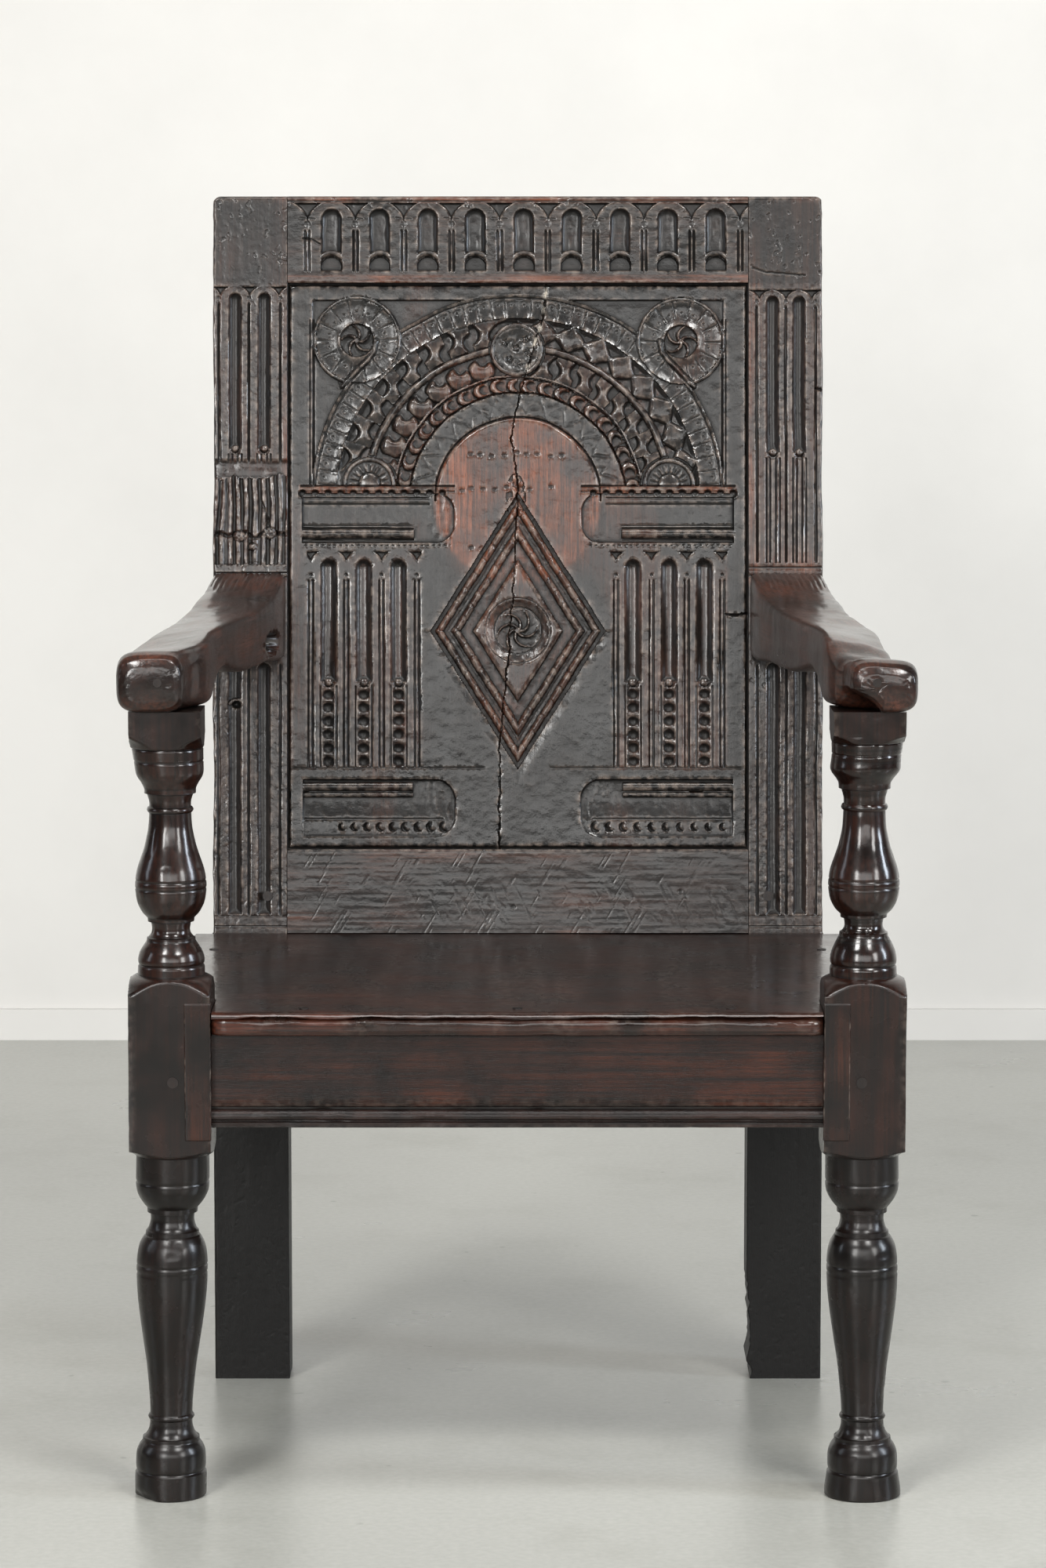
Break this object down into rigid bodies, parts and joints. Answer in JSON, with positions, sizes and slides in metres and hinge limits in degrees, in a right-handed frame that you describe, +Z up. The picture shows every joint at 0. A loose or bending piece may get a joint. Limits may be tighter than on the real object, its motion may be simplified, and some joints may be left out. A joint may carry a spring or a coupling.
{
  "type": "wainscot chair",
  "caption": "Joined oak armchair with a raked, carved panel back, shaped open arms, turned front posts and a plain board seat.",
  "frame": {"origin": "middle of the chair's bounding box, on the floor it stands on", "axes": "+Z up; the sitter faces -Y, so the carved back stands towards +Y; +X is to the right as seen from the front"},
  "size_m": [0.655, 0.5996, 1.0815],
  "materials": {
    "carved_oak": "carved, stained near black and waxed, worn reddish brown on the raised edges",
    "rail_oak": "planed, stained dark brown and waxed, satin",
    "seat_oak": "planed, polished by use, semi gloss",
    "arm_oak": "shaped, polished by hands, semi gloss",
    "turned_oak": "turned, stained dark brown and waxed, semi gloss",
    "peg_oak": "riven end grain, waxed"
  },
  "bodies": {
    "root": {"left_rear_stile": "carved_oak", "right_rear_stile": "carved_oak", "crest_rail": "carved_oak", "lower_back_rail": "carved_oak", "back_panel": "carved_oak", "front_seat_rail": "rail_oak", "rear_seat_rail": "rail_oak", "left_side_seat_rail": "rail_oak", "right_side_seat_rail": "rail_oak", "seat_board": "seat_oak", "left_arm": "arm_oak", "right_arm": "arm_oak", "left_front_post": "turned_oak", "right_front_post": "turned_oak", "left_post_strip": "turned_oak", "right_post_strip": "turned_oak", "crest_rail_pegs": "peg_oak", "lower_back_rail_pegs": "peg_oak", "front_seat_rail_pegs": "peg_oak", "rear_seat_rail_pegs": "peg_oak", "side_seat_rail_pegs": "peg_oak", "arm_rear_pegs": "peg_oak", "arm_front_pegs": "peg_oak", "seat_board_pegs": "peg_oak"}
  },
  "joints": []
}
